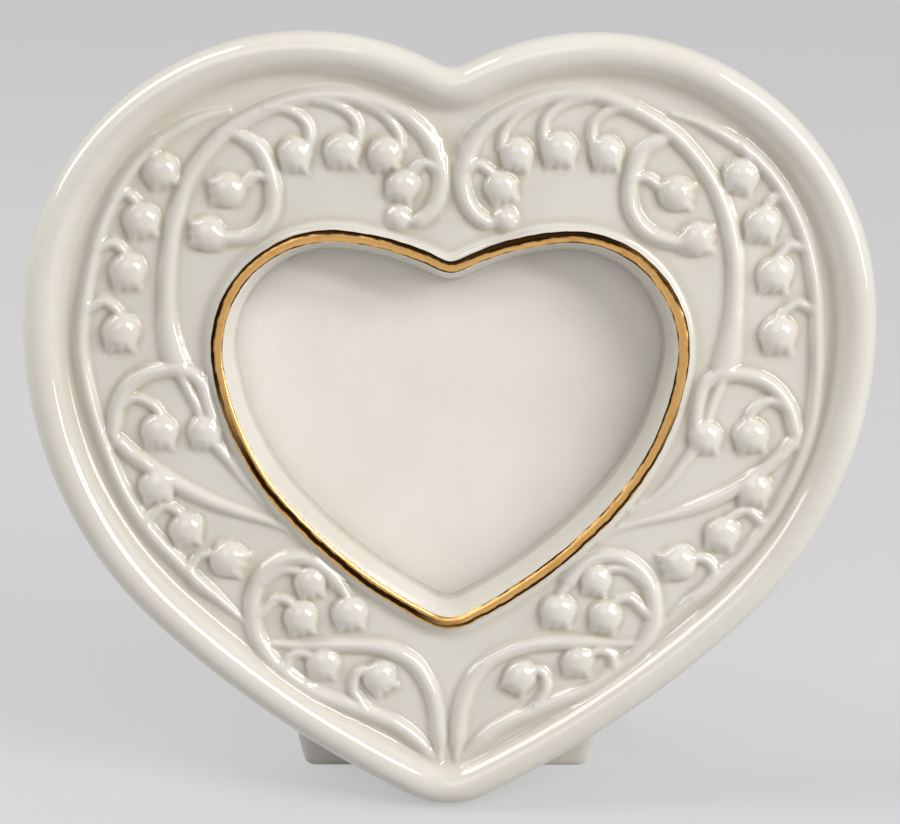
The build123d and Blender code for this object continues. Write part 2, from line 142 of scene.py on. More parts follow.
# Bell flowers of one half: the middle, which way the mouth points, the size, and the places of the thin stem
BELLS = (
    ((26.3, 110.0), -90, 1.0, ((31.6, 118.0), (27.6, 117.7), (24.5, 115.9), (23.7, 113.4), (24.3, 111))),
    ((18.3, 110.7), -92, 1.0, ((23.0, 119.6), (19.2, 118.6), (16.4, 116.4), (15.8, 113.8), (16.3, 111.5))),
    ((11.1, 110.0), -95, 1.0, ((15.6, 119.2), (11.6, 117.1), (8.9, 114.2), (8.4, 111.5))),
    ((8.3, 104.6), -75, 0.95, ((2.8, 107.9), (4.6, 108.6), (6.6, 107.3), (7.6, 105.6))),
    ((38.1, 103.8), -10, 1.0, ((30.5, 106.0), (33, 106.3), (35.4, 104.6))),
    ((41.8, 96.3), 0, 1.0, ((36, 95.8), (38, 95.7), (39.5, 96))),
    ((49.0, 106.8), -105, 1.0, ((49.5, 112.2), (50.2, 110.6), (50.0, 108.6))),
    ((52.6, 98.5), -98, 1.03, ((57, 102.6), (55.0, 103.4), (53.1, 101.6), (52.4, 99.5))),
    ((55.2, 89.9), -92, 1.06, ((60.6, 94.2), (57.6, 95.0), (55.3, 92.9), (54.6, 90.8))),
    ((56.2, 79.5), -90, 1.1, ((62.4, 83.8), (59.2, 85.0), (56.3, 82.8), (55.4, 80.5))),
    ((50.6, 62.1), -88, 1.0, ((56.8, 67.3), (54, 68.3), (51.2, 66.9), (49.9, 64.6))),
    ((42.8, 61.9), -90, 1.0, ((46.3, 71.8), (44.9, 69), (43.7, 66.3), (43.2, 64))),
    ((51.4, 52.6), -95, 1.0, ((55.8, 58.6), (53.5, 57.3), (51.9, 55))),
    ((46.4, 45.0), -100, 1.0, ((53.0, 47.2), (50.3, 49.3), (47.6, 48), (46.7, 46))),
    ((38.7, 40.0), -160, 1.05, ((41.5, 34), (44.4, 35.8), (45.4, 38.5), (44.0, 40.6), (41.5, 41))),
    ((24.6, 36.3), -100, 0.95, ((32.9, 36.4), (30.0, 38.4), (26.8, 38.4), (25.4, 37.2))),
    ((26.2, 29.9), -100, 1.0, ((33.6, 30.6), (30.6, 33.4), (28, 32.8), (26.8, 31.4))),
    ((17.9, 30.9), -95, 1.0, ((19.0, 35.1), (18.5, 34.2), (18.2, 32.8))),
    ((21.9, 22), -90, 0.95, ((28.6, 21), (27.8, 23.2), (25.6, 24), (23.2, 23.3))),
    ((12.0, 19.4), -118, 1.0, ((15.1, 14.6), (16.8, 17.3), (16.2, 20.2), (13.9, 21))),
)
STEM_RADIUS, STEM_HEIGHT = 1.5, 1.35
SCROLL_ROOT, VINE_SHARE = 0.55, 0.85
THIN_RADIUS, THIN_HEIGHT = 1.0, 1.05
THIN_START, THIN_END = 0.45, 0.35
KNOB_RADIUS, KNOB_HEIGHT = 2.4, 1.6
BELL_LENGTH, BELL_WIDTH, BELL_HEIGHT = 6.8, 6.3, 2.2
BLEND, BELL_BLEND, MOUTH_BLEND, RIM_BLEND = 0.9, 0.6, 0.8, 0.3

RISE, RUN = cos(radians(LEAN)), sin(radians(LEAN))
FACE_TURN = Matrix(((1, 0, 0), (0, RUN, -RISE), (0, RISE, RUN)))
FACE_ORIGIN = Vector((0, -FACE_SETBACK, SIDE_DEPTH * RUN - TIP_FLAT_DEPTH))


def to_frame(places):
    """Places on the face, in millimetres, as points of the frame in metres."""
    turned = np.asarray(places, float) @ np.array(FACE_TURN.transposed())
    return (turned + np.array(FACE_ORIGIN)) * MM


def at_level(line, forward):
    """The places of a line, all this far forwards."""
    return np.column_stack((line, np.full(len(line), forward)))


# Heart lines
def heart_arcs(width, radius_shares, turns, dip):
    """Radius and turn of each arc of a heart's right half, from its tip round to its dip."""
    dip_share, dip_turn = dip
    heading, across, widest = 0, 0, 0
    for radius, turn in zip(radius_shares, turns):
        if heading < 90 <= heading + turn:
            widest = across + radius * (1 - sin(radians(heading)))
        across += radius * (sin(radians(heading + turn)) - sin(radians(heading)))
        heading += turn
    last = 180 + dip_turn
    lobe = (across + dip_share * sin(radians(last))) / (sin(radians(heading)) - sin(radians(last)))
    arcs = [*zip(radius_shares, turns), (lobe, last - heading), (dip_share, -dip_turn)]
    return [(radius * width / (2 * widest), turn) for radius, turn in arcs]


OUTLINE = heart_arcs(FRAME_WIDTH, OUTLINE_RADIUS_SHARES, OUTLINE_TURNS, OUTLINE_DIP)
OPENING = heart_arcs(OPENING_WIDTH, OPENING_RADIUS_SHARES, OPENING_TURNS, OPENING_DIP)


def heart_ring(arcs, tip, count):
    """Evenly spaced places round a heart from its tip, and the outward direction at each."""
    half = count // 2
    lengths = np.array([radius * radians(abs(turn)) for radius, turn in arcs])
    ends = np.concatenate(([0], np.cumsum(lengths)))
    wanted = np.linspace(0, ends[-1], half + 1)
    places = np.zeros((half + 1, 2))
    headings = np.zeros(half + 1)
    at, place = 0.0, np.array((0.0, tip))
    for index, (radius, turn) in enumerate(arcs):
        inside = (wanted >= ends[index] - 1e-9) & (wanted <= ends[index + 1] + 1e-9)
        share = (wanted[inside] - ends[index]) / lengths[index]
        heading = np.radians(at + turn * share)
        start = radians(at)
        sign = 1 if turn > 0 else -1
        across = sign * radius * (np.sin(heading) - sin(start))
        up = sign * radius * (cos(start) - np.cos(heading))
        places[inside] = place + np.stack((across, up), 1)
        headings[inside] = heading
        end = radians(at + turn)
        place = place + sign * radius * np.array((sin(end) - sin(start), cos(start) - cos(end)))
        at += turn
    outward = np.stack((np.sin(headings), -np.cos(headings)), 1)
    mirrored = np.array((-1, 1))
    ring = np.concatenate((places, places[-2:0:-1] * mirrored))
    away = np.concatenate((outward, outward[-2:0:-1] * mirrored))
    return ring, away


# Relief on the field
def smooth_path(points, spacing=0.4):
    """A smooth line through the points, sampled about evenly, with the share of the way at each sample."""
    points = np.array(points, float)
    ends = np.vstack((2 * points[0] - points[1], points, 2 * points[-1] - points[-2]))
    line = []
    for before, here, after, beyond in zip(ends, ends[1:], ends[2:], ends[3:]):
        steps = max(2, int(np.linalg.norm(after - here) / spacing))
        t = np.linspace(0, 1, steps, endpoint=False)[:, None]
        slope_in, slope_out = (after - before) / 2, (beyond - here) / 2
        line.append(
            (2 * t**3 - 3 * t**2 + 1) * here
            + (t**3 - 2 * t**2 + t) * slope_in
            + (3 * t**2 - 2 * t**3) * after
            + (t**3 - t**2) * slope_out
        )
    line.append(points[-1:])
    line = np.concatenate(line)
    return line, np.linspace(0, 1, len(line))


def smooth_step(value, low, high):
    """0 below low, 1 above high and a smooth rise between."""
    t = np.clip((value - low) / (high - low), 0, 1)
    return t * t * (3 - 2 * t)


def blend_over(ground, raised, reach=BLEND):
    """The higher of two heights, with a glazed fillet where they meet."""
    meet = np.maximum(reach - np.abs(ground - raised), 0)
    return np.maximum(ground, raised) + meet * meet / (4 * reach)


def add_stem(height, places, points, radius, top, taper_in=0.0, taper_out=0.0, root=0.0):
    """Raises a rounded stem along its points. The tapers thin its ends, and root widens its start."""
    line, share = smooth_path(points)
    low, high = line.min(0) - 2 * radius, line.max(0) + 2 * radius
    near = np.flatnonzero(np.all((places > low) & (places < high), 1))
    if not len(near):
        return
    nearest = np.full(len(near), 1e9)
    where = np.zeros(len(near))
    for start in range(0, len(near), BATCH):
        batch = slice(start, start + BATCH)
        some = places[near[batch]]
        gaps = ((some[:, None, :] - line[None, :, :]) ** 2).sum(2)
        best = gaps.argmin(1)
        nearest[batch] = np.sqrt(gaps[np.arange(len(some)), best])
        where[batch] = share[best]
    size = np.ones(len(near))
    if taper_in:
        size *= THIN_START + (1 - THIN_START) * smooth_step(where, 0, taper_in)
    if taper_out:
        size *= THIN_END + (1 - THIN_END) * smooth_step(1 - where, 0, taper_out)
    width = radius * (size + root * (1 - smooth_step(where, 0, 0.12)))
    gap = nearest / width
    raised = top * size * (np.clip(1 - gap**2, 0, 1) ** 0.8 - 2 * np.clip(gap - 1, 0, None))
    height[near] = blend_over(height[near], raised)


def add_bell(height, places, middle, pointing, scale=1.0):
    """Raises a bell flower: a round bulb that narrows a little, then flares to a mouth with three points."""
    along = np.array((cos(radians(pointing)), sin(radians(pointing))))
    across = np.array((-along[1], along[0]))
    length, width, top = BELL_LENGTH * scale, BELL_WIDTH * scale, BELL_HEIGHT * scale
    offset = places - np.array(middle)
    near = np.flatnonzero((offset**2).sum(1) < length * length)
    if not len(near):
        return
    down = (offset[near] @ along) / length + 0.5
    closing = 0.20 * smooth_step(down, 0.45, 0.85) - 0.07 * smooth_step(down, 0.85, 1.0)
    aside = offset[near] @ across / (width / 2 * (1 - closing))
    cap = np.clip((0.45 - down) / 0.45, 0, None)
    bulb = np.clip(1 - aside**2 - cap**2, 0, 1) ** 0.62
    body = top * bulb * (1 - 0.16 * smooth_step(down, 0.5, 0.95))
    outside = np.clip(aside**2 + cap**2 - 1, 0, None) * 3
    lobes = 0.965 + 0.012 * np.cos(3.0 * pi * np.clip(aside, -1, 1))
    mouth = (lobes - down) * length * 1.2
    raised = -blend_over(-(body - outside), -mouth, MOUTH_BLEND)
    height[near] = blend_over(height[near], raised, BELL_BLEND)


def relief_height(across, up):
    """Height of the raised stems and flowers at places on the field."""
    side = np.sign(across)
    far = smooth_step(np.abs(across), 0, 12)
    sway = 0.25 * far * np.sin(0.16 * up + 0.9 * side) + 0.15 * far * np.sin(0.41 * across + 1.7)
    lift = 0.28 * far * np.sin(0.14 * np.abs(across) + 1.3 * side)
    drift = LOW_DRIFT * smooth_step(up, 22, 34) * (1 - smooth_step(up, 62, 85))
    places = np.stack((np.abs(across - drift) + sway, up - TRACE_RISE + lift), 1)
    height = np.zeros(len(places))
    for name, points in STEMS.items():
        root = SCROLL_ROOT if name == "great_scroll" else 0
        radius = STEM_RADIUS * (VINE_SHARE if name == "rim_vine" else 1)
        add_stem(height, places, points, radius, STEM_HEIGHT, *STEM_TAPERS[name], root)
    for *_, points in BELLS:
        add_stem(height, places, points, THIN_RADIUS, THIN_HEIGHT)
    for middle, pointing, size, _ in BELLS:
        add_bell(height, places, middle, pointing, size)
    for middle in (STEMS["great_scroll"][-1], STEMS["inner_curl"][-1]):
        gap = np.sqrt(((places - np.array(middle)) ** 2).sum(1))
        height = blend_over(height, KNOB_HEIGHT * (1 - (gap / KNOB_RADIUS) ** 2.2))
    return height


# Meshes
def make_piece(name, vertices, faces, material, smooth=True):
    """A mesh object at the origin, in one material."""
    mesh = bpy.data.meshes.new(name)
    mesh.from_pydata([tuple(v) for v in vertices], [], faces)
    mesh.materials.append(material)
    mesh.polygons.foreach_set("use_smooth", [smooth] * len(mesh.polygons))
    mesh.update()
    piece = bpy.data.objects.new(name, mesh)
    bpy.context.scene.collection.objects.link(piece)
    return piece


def ring_faces(rows, columns, closed_rows=True):
    """Quads of a grid whose columns run round, and whose rows close on themselves or don't."""
    faces = []
    for row in range(rows if closed_rows else rows - 1):
        here, after = row * columns, (row + 1) % rows * columns
        for column in range(columns):
            beside = (column + 1) % columns
            faces.append((here + column, here + beside, after + beside, after + column))
    return faces


def turn_outwards(piece):
    """Faces of a closed mesh are turned to point outwards."""
    work = bmesh.new()
    work.from_mesh(piece.data)
    bmesh.ops.recalc_face_normals(work, faces=work.faces)
    work.to_mesh(piece.data)
    work.free()


def mark(piece, name, values):
    """A value at each point of a mesh, for its finish to read."""
    attribute = piece.data.attributes.new(name, "FLOAT", "POINT")
    attribute.data.foreach_set("value", values.ravel().astype(np.float32))


# Material parts that several materials share
def node_group(name, inputs, outputs):
    """An empty shader node group with named sockets."""
    group = bpy.data.node_groups.new(name, "ShaderNodeTree")
    for label, kind, default in inputs:
        socket = group.interface.new_socket(label, in_out="INPUT", socket_type=kind)
        if default is not None:
            socket.default_value = default
    for label, kind in outputs:
        group.interface.new_socket(label, in_out="OUTPUT", socket_type=kind)
    return group, group.nodes.new("NodeGroupInput"), group.nodes.new("NodeGroupOutput")


def mottle_group():
    """Soft patches over a surface: a mask from 0 to 1."""
    group, start, end = node_group(
        "Mottle",
        [
            ("Patch Size", "NodeSocketFloat", 0.01), ("Low", "NodeSocketFloat", 0.4),
            ("High", "NodeSocketFloat", 0.6),
        ],
        [("Mask", "NodeSocketFloat")],
    )
    place = group.nodes.new("ShaderNodeTexCoord")
    scale = group.nodes.new("ShaderNodeMath")
    scale.operation = "DIVIDE"
    scale.inputs[0].default_value = 1.0
    noise = group.nodes.new("ShaderNodeTexNoise")
    noise.inputs["Detail"].default_value = 4.0
    noise.inputs["Roughness"].default_value = 0.55
    spread = group.nodes.new("ShaderNodeMapRange")
    spread.interpolation_type = "SMOOTHSTEP"
    group.links.new(start.outputs["Patch Size"], scale.inputs[1])
    group.links.new(place.outputs["Object"], noise.inputs["Vector"])
    group.links.new(scale.outputs[0], noise.inputs["Scale"])
    group.links.new(noise.outputs["Fac"], spread.inputs["Value"])
    group.links.new(start.outputs["Low"], spread.inputs["From Min"])
    group.links.new(start.outputs["High"], spread.inputs["From Max"])
    group.links.new(spread.outputs["Result"], end.inputs["Mask"])
    return group


MOTTLE = mottle_group()


class Finish:
    """A material being built around one Principled shader."""

    def __init__(self, name, colour, roughness, metallic=0.0, **plain):
        self.material = bpy.data.materials.new(name)
        self.material.use_nodes = True
        self.nodes = self.material.node_tree.nodes
        self.links = self.material.node_tree.links
        self.shader = self.nodes["Principled BSDF"]
        start = {"Base Color": (*colour, 1), "Roughness": roughness, "Metallic": metallic}
        self.set(self.shader, start | plain)

    def set(self, node, values):
        """Sets several inputs of a node to plain values."""
        for label, value in values.items():
            node.inputs[label].default_value = value

    def add(self, kind, values=None, **settings):
        """A new node with its settings and plain inputs."""
        node = self.nodes.new(kind)
        for label, value in settings.items():
            setattr(node, label, value)
        self.set(node, values or {})
        return node

    def mottle(self, patch, low=0.4, high=0.6):
        """A mask of soft patches of about this size in metres."""
        node = self.add("ShaderNodeGroup", node_tree=MOTTLE)
        self.set(node, {"Patch Size": patch, "Low": low, "High": high})
        return node.outputs["Mask"]

    def mix(self, mask, first, second):
        """Two colours mixed by a mask."""
        node = self.add("ShaderNodeMix", data_type="RGBA")
        self.links.new(mask, node.inputs["Factor"])
        for socket, value in ((node.inputs[6], first), (node.inputs[7], second)):
            if isinstance(value, tuple):
                socket.default_value = (*value, 1)
            else:
                self.links.new(value, socket)
        return node.outputs[2]

    def range(self, value, low, high):
        """A mask spread over a range of values."""
        node = self.add("ShaderNodeMapRange", {"To Min": low, "To Max": high})
        self.links.new(value, node.inputs["Value"])
        return node.outputs["Result"]

    def bump(self, height, strength, distance):
        """A bump of the surface from a height."""
        node = self.add("ShaderNodeBump", {"Strength": strength, "Distance": distance})
        self.links.new(height, node.inputs["Height"])
        self.links.new(node.outputs["Normal"], self.shader.inputs["Normal"])

    def drive(self, label, value):
        """Links a changing value to an input of the shader."""
        self.links.new(value, self.shader.inputs[label])

    def texture(self, kind, values, **settings):
        """A texture laid over the object's own places."""
        node = self.add(kind, values, **settings)
        self.links.new(self.add("ShaderNodeTexCoord").outputs["Object"], node.inputs["Vector"])
        return node.outputs["Fac"]

    def blend_with(self, kind, factor, values=None):
        """Mixes another kind of shader into the surface by a factor."""
        pick = self.add("ShaderNodeMixShader")
        other = self.add(kind, values)
        for index, value in enumerate((factor, self.shader.outputs[0], other.outputs[0])):
            self.links.new(value, pick.inputs[index])
        self.links.new(pick.outputs[0], self.nodes["Material Output"].inputs["Surface"])


def linear(red, green, blue):
    """A colour given as it is seen, from 0 to 255, as the renderer's values."""
    values = [channel / 255 for channel in (red, green, blue)]
    return tuple(v / 12.92 if v <= 0.04045 else ((v + 0.055) / 1.055) ** 2.4 for v in values)


def porcelain():
    """Ivory porcelain under a clear glaze that pools warm in the hollows, which also carry painted shade."""
    coat = {"Coat Weight": 0.4, "Coat Roughness": 0.03}
    finish = Finish("glazed porcelain", linear(224, 219, 208), 0.07, **coat)
    pool_and_shade = finish.add("ShaderNodeAttribute", attribute_name="glaze_pool_and_shade")
    tint = finish.mix(finish.mottle(0.030), linear(225, 220, 210), linear(221, 215, 203))
    # Hollows turn a darker warm tone: partly glaze pooling, partly painted shade
    finish.drive("Base Color", finish.mix(pool_and_shade.outputs["Fac"], tint, linear(184, 172, 145)))
    peel = finish.texture("ShaderNodeTexNoise", {"Scale": 200.0, "Detail": 2.0})
    finish.bump(peel, 0.07, 0.0004)
    return finish.material


def gilding():
    """Burnished gold, fired on and slightly rubbed, with dark lines of painted reflection along its edges."""
    finish = Finish("burnished gold", linear(244, 190, 116), 0.28, 1.0)
    rubbed = finish.mottle(0.0030, 0.50, 0.75)
    bright = finish.mix(rubbed, linear(246, 192, 118), linear(222, 162, 88))
    painted_reflection = finish.add("ShaderNodeAttribute", attribute_name="painted_reflection")
    # Dark lines of painted reflection, where the gilding is marked for them
    finish.drive("Base Color", finish.mix(painted_reflection.outputs["Fac"], bright, linear(46, 29, 12)))
    finish.drive("Roughness", finish.range(rubbed, 0.24, 0.40))
    finish.bump(finish.mottle(0.0012, 0.3, 0.8), 0.05, 0.0002)
    return finish.material


def card_paper():
    """Off-white card with a laid texture and small specks."""
    finish = Finish("insert card", linear(240, 234, 225), 0.82, **{"Specular IOR Level": 0.3})
    specks = finish.mottle(0.0009, 0.70, 0.78)
    shade = finish.mix(finish.mottle(0.012, 0.3, 0.7), linear(241, 235, 226), linear(237, 230, 220))
    finish.drive("Base Color", finish.mix(specks, shade, linear(217, 208, 194)))
    lines = {"Scale": 260.0, "Distortion": 1.6, "Detail": 2.0}
    laid = finish.texture("ShaderNodeTexWave", lines, bands_direction="X")
    both = finish.add("ShaderNodeMath", operation="ADD")
    finish.links.new(laid, both.inputs[0])
    finish.links.new(finish.mottle(0.0012, 0.2, 0.8), both.inputs[1])
    finish.bump(both.outputs[0], 0.06, 0.0001)
    return finish.material


def clear_sheet():
    """Thin clear sheet that lets light through to the card."""
    finish = Finish("clear window", (1, 1, 1), 0.02, **{"Transmission Weight": 1.0, "IOR": 1.45})
    path = finish.add("ShaderNodeLightPath")
    straight = finish.add("ShaderNodeMath", operation="MAXIMUM")
    finish.links.new(path.outputs["Is Shadow Ray"], straight.inputs[0])
    finish.links.new(path.outputs["Is Diffuse Ray"], straight.inputs[1])
    finish.blend_with("ShaderNodeBsdfTransparent", straight.outputs[0])
    return finish.material


def fibreboard():
    """Brown hardboard, its fibres pressed flat."""
    finish = Finish("fibreboard", linear(120, 88, 60), 0.78)
    fibre = finish.mottle(0.0008, 0.25, 0.75)
    shade = finish.mix(finish.mottle(0.010, 0.3, 0.7), linear(126, 92, 62), linear(108, 78, 52))
    finish.drive("Base Color", finish.mix(fibre, shade, linear(142, 108, 76)))
    finish.drive("Roughness", finish.range(fibre, 0.70, 0.88))
    finish.bump(fibre, 0.3, 0.0002)
    return finish.material


def worn(name, colour, roughness, metallic, patches, fresh, dull, rough):
    """A finish that dulls in soft patches, where its roughness rises too."""
    finish = Finish(name, linear(*colour), roughness, metallic)
    mask = finish.mottle(*patches)
    finish.drive("Base Color", finish.mix(mask, linear(*fresh), linear(*dull)))
    finish.drive("Roughness", finish.range(mask, *rough))
    return finish


def pressed_brass():
    """Brass strip with light tarnish."""
    patches, rough = (0.004, 0.45, 0.75), (0.24, 0.46)
    look = (202, 166, 98), 0.3, 1.0
    finish = worn("pressed brass", *look, patches, (206, 171, 104), (150, 116, 66), rough)
    finish.bump(finish.mottle(0.0005, 0.2, 0.8), 0.15, 0.0001)
    return finish.material


def zinc_steel():
    """Zinc plated steel."""
    patches, rough = (0.0018, 0.4, 0.7), (0.24, 0.42)
    look = (188, 188, 184), 0.3, 1.0
    return worn("zinc plated steel", *look, patches, (194, 194, 190), (150, 148, 140), rough).material


def plug_plastic():
    """Off-white moulded plastic."""
    patches, rough = (0.002, 0.4, 0.6), (0.45, 0.6)
    look = (206, 202, 188), 0.5, 0.0
    return worn("plug plastic", *look, patches, (208, 204, 190), (192, 186, 168), rough).material


def seen_or_mirrored(nodes, links):
    """1 for the rays of the camera and of mirrors and clear sheets, 0 for the light that falls on things."""
    path = nodes.new("ShaderNodeLightPath")
    total = path.outputs["Is Camera Ray"]
    for label in ("Is Glossy Ray", "Is Transmission Ray"):
        either = nodes.new("ShaderNodeMath")
        either.operation = "MAXIMUM"
        links.new(total, either.inputs[0])
        links.new(path.outputs[label], either.inputs[1])
        total = either.outputs[0]
    return total


def floor_paper():
    """Pale seamless paper. A faint glow evens it out where it is seen, and it keeps the object's shadow."""
    finish = Finish("pale paper", linear(190, 190, 190), 0.9, **{"Specular IOR Level": 0.2})
    finish.drive("Base Color", finish.mix(finish.mottle(0.25), linear(192, 192, 192), linear(187, 187, 188)))
    seen = finish.add("ShaderNodeMath", {1: 0.55}, operation="MULTIPLY")
    finish.links.new(seen_or_mirrored(finish.nodes, finish.links), seen.inputs[0])
    finish.blend_with("ShaderNodeEmission", seen.outputs[0], {"Color": (1, 1, 1, 1), "Strength": 0.8})
    return finish.material


# The casting
LIP_ROUND = 0.35
LAND_ROWS, COVE_ROWS = 6, 5
WARP = 0.035
# How strongly the hollows take glaze pooling and painted shade, and the most they take
POOL_SHADE_GAIN, POOL_SHADE_MOST = 1.5, 0.8


def casting_rows(opening, opening_away, outline, outline_away):
    """Rows of the casting round its section: places in millimetres, and whether each takes the relief."""
    rows = []

    def beside_opening(grow, forward, raised=False):
        rows.append((at_level(opening + opening_away * grow, forward), raised))

    def beside_outline(inwards, forward, raised=False):
        rows.append((at_level(outline - outline_away * inwards, forward), raised))

    wall_foot = (LIP_HEIGHT + REBATE_DEPTH) * tan(radians(OPENING_DRAFT))
    for share in (0, 0.3, 0.7, 0.95):
        level = -REBATE_DEPTH + share * (LIP_HEIGHT + REBATE_DEPTH - LIP_ROUND)
        beside_opening(-wall_foot * (1 - share), level)
    for step in range(1, LAND_ROWS):
        turn = pi * step / LAND_ROWS
        middle, reach = GILT_WIDTH / 2, GILT_WIDTH / 2 - 0.02
        beside_opening(middle - reach * cos(turn), LIP_HEIGHT - LIP_ROUND + LIP_ROUND * sin(turn))
    for step in range(1, COVE_ROWS + 1):
        turn = pi / 2 * step / COVE_ROWS
        level = (LIP_HEIGHT - LIP_ROUND) * (1 - sin(turn))
        beside_opening(GILT_WIDTH + LIP_COVE * (1 - cos(turn)), level, step > 3)
    inner = opening + opening_away * (GILT_WIDTH + LIP_COVE)
    outer = outline - outline_away * RIM_REACH
    for row in range(1, FIELD_ROWS):
        share = row / FIELD_ROWS
        rows.append((at_level(inner * (1 - share) + outer * share, 0.0), True))
    for inwards, forward in RIM_PROFILE:
        beside_outline(inwards, forward, inwards > 5)
    beside_outline(0, -SIDE_DEPTH)
    draft = tan(radians(SIDE_DRAFT))
    for share in (0.5, 1.0):
        depth = SIDE_DEPTH + share * (BODY_DEPTH - BACK_EDGE_ROUND - SIDE_DEPTH)
        beside_outline((depth - SIDE_DEPTH) * draft, -depth)
    for step in (1, 2, 3):
        turn = pi / 2 * step / 3
        inwards = (BODY_DEPTH - BACK_EDGE_ROUND - SIDE_DEPTH) * draft + BACK_EDGE_ROUND * (1 - cos(turn))
        beside_outline(inwards, -BODY_DEPTH + BACK_EDGE_ROUND * (1 - sin(turn)))
    back_outer = rows[-1][0]
    back_inner = at_level(opening + opening_away * REBATE_OVERHANG, -BODY_DEPTH)
    for share in (0.35, 0.7, 0.97, 1.0):
        rows.append((back_outer * (1 - share) + back_inner * share, False))
    for forward in (-BODY_DEPTH + 0.25, -REBATE_DEPTH):
        beside_opening(REBATE_OVERHANG, forward)
    return rows


def casting(material):
    """The porcelain casting with its relief, as one closed surface."""
    opening, opening_away = heart_ring(OPENING, OPENING_TIP_RISE, COLUMNS)
    outline, outline_away = heart_ring(OUTLINE, 0, COLUMNS)
    rows = casting_rows(opening, opening_away, outline, outline_away)
    places = np.array([row for row, _ in rows])
    raised = np.array([flag for _, flag in rows])
    carved = places[raised]
    height = relief_height(carved[..., 0].ravel(), carved[..., 1].ravel()).reshape(carved.shape[:2])
    rim = np.array([smooth_step(row[:, 2], 0.0, 3.2) for row in carved])
    height = height * (1 - 0.75 * rim)
    carved[..., 2] = blend_over(carved[..., 2], height, RIM_BLEND)
    places[raised] = carved
    front = places[..., 2] > -SIDE_DEPTH
    wave = WARP * np.sin(0.21 * places[..., 0] + 1.1) * np.sin(0.17 * places[..., 1] + 0.4)
    places[..., 2] += np.where(front, wave, 0)

    # Hollows hold more glaze and take painted shade: they lie below the mean of their surroundings
    level = places[..., 2]
    around = sum(np.roll(level, shift, axis) for axis in (0, 1) for shift in (-4, -2, 2, 4)) / 8
    beside_rim = smooth_step(np.arange(len(rows)), FIELD_ROWS - 2, FIELD_ROWS + 16)[:, None]
    glaze_pool_and_shade = np.clip((around - level) * POOL_SHADE_GAIN, 0, POOL_SHADE_MOST) * raised[:, None] * (1 - 0.6 * beside_rim)

    points = to_frame(places.reshape(-1, 3))
    points[:, 2] = np.maximum(points[:, 2], 0)
    piece = make_piece("glazed_casting", points, ring_faces(len(rows), COLUMNS), material)
    turn_outwards(piece)
    mark(piece, "glaze_pool_and_shade", glaze_pool_and_shade)
    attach(piece, BODY)
    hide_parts("porcelain_body")


GILT_STEPS = 16
GILT_LAP, GILT_FOOT, GILT_CROWN, GILT_UNDERSIDE = 0.06, 0.36, 0.46, 0.7


def gilded_lip(material):
    """The gilding over the lip's crest. Its edges are uneven, with darker lines of painted reflection that
    differ round it.
    """
    opening, away = heart_ring(OPENING, OPENING_TIP_RISE, COLUMNS)
    across, up = opening[:, 0], opening[:, 1]
    way = np.arange(COLUMNS) * 2 * pi / COLUMNS

    def wander(*waves):
        return sum(depth * np.sin(count * way + start) for depth, count, start in waves)

    ragged_in = wander((0.035, 11, 0), (0.025, 29, 1), (0.02, 67, 2))
    ragged_out = wander((0.035, 13, 2), (0.025, 31, 0), (0.02, 73, 1))
    # Where round the heart the dark lines of painted reflection lie, and how wide they are
    low = 1 - smooth_step(up, 60, 76)
    low_left = low * smooth_step(-across, -4, 6)
    low_right = low - low_left
    top_right = smooth_step(up, 86, 92) * smooth_step(across, 3, 10) * (1 - 0.7 * smooth_step(across, 25, 33))
    dip = 1 - smooth_step(np.abs(across), 5, 14)
    right = smooth_step(across, 22, 30) * (1 - smooth_step(up, 82, 92))
    outer_line = 0.40 - 0.42 * top_right - 0.20 * dip + 0.38 * right
    rows, painted_reflections = [], []
    for step in range(GILT_STEPS + 1):
        turn = pi * step / GILT_STEPS
        side = -cos(turn)
        grow = GILT_WIDTH / 2 + (GILT_WIDTH / 2 + GILT_LAP) * side
        grow = grow + np.where(side < 0, ragged_in, ragged_out) * abs(side) ** 3
        forward = LIP_HEIGHT - GILT_FOOT + GILT_CROWN * sin(turn)
        rows.append(at_level(opening + away * grow[:, None], forward))
        uneven = side + wander((0.10, 7, 1), (0.06, 19, 0), (0.04, 61, 0))
        uneven = uneven + 0.05 * np.sin(43 * way + 1) * np.sin(97 * way)
        inner_line = 1 - smooth_step(uneven - 0.08 * right, -0.94, -0.78)
        high_lines = smooth_step(uneven, outer_line - 0.1, outer_line + 0.1) + inner_line
        left_lines = smooth_step(uneven, -0.45, -0.25) * (1 - smooth_step(uneven, 0.50, 0.72))
        right_lines = smooth_step(uneven, 0.30, 0.48) * (1 - smooth_step(uneven, 0.84, 0.96)) + inner_line
        painted_reflections.append(high_lines * (1 - low) + left_lines * low_left + right_lines * low_right)
    rows.append(at_level(opening + away * (GILT_WIDTH / 2), LIP_HEIGHT - GILT_UNDERSIDE))
    painted_reflections.append(np.zeros(COLUMNS))
    points = to_frame(np.array(rows).reshape(-1, 3))
    piece = make_piece("gilded_lip", points, ring_faces(len(rows), COLUMNS), material)
    turn_outwards(piece)
    mark(piece, "painted_reflection", np.clip(np.array(painted_reflections), 0, 1))
    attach(piece, BODY)
    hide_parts("gilt_band")


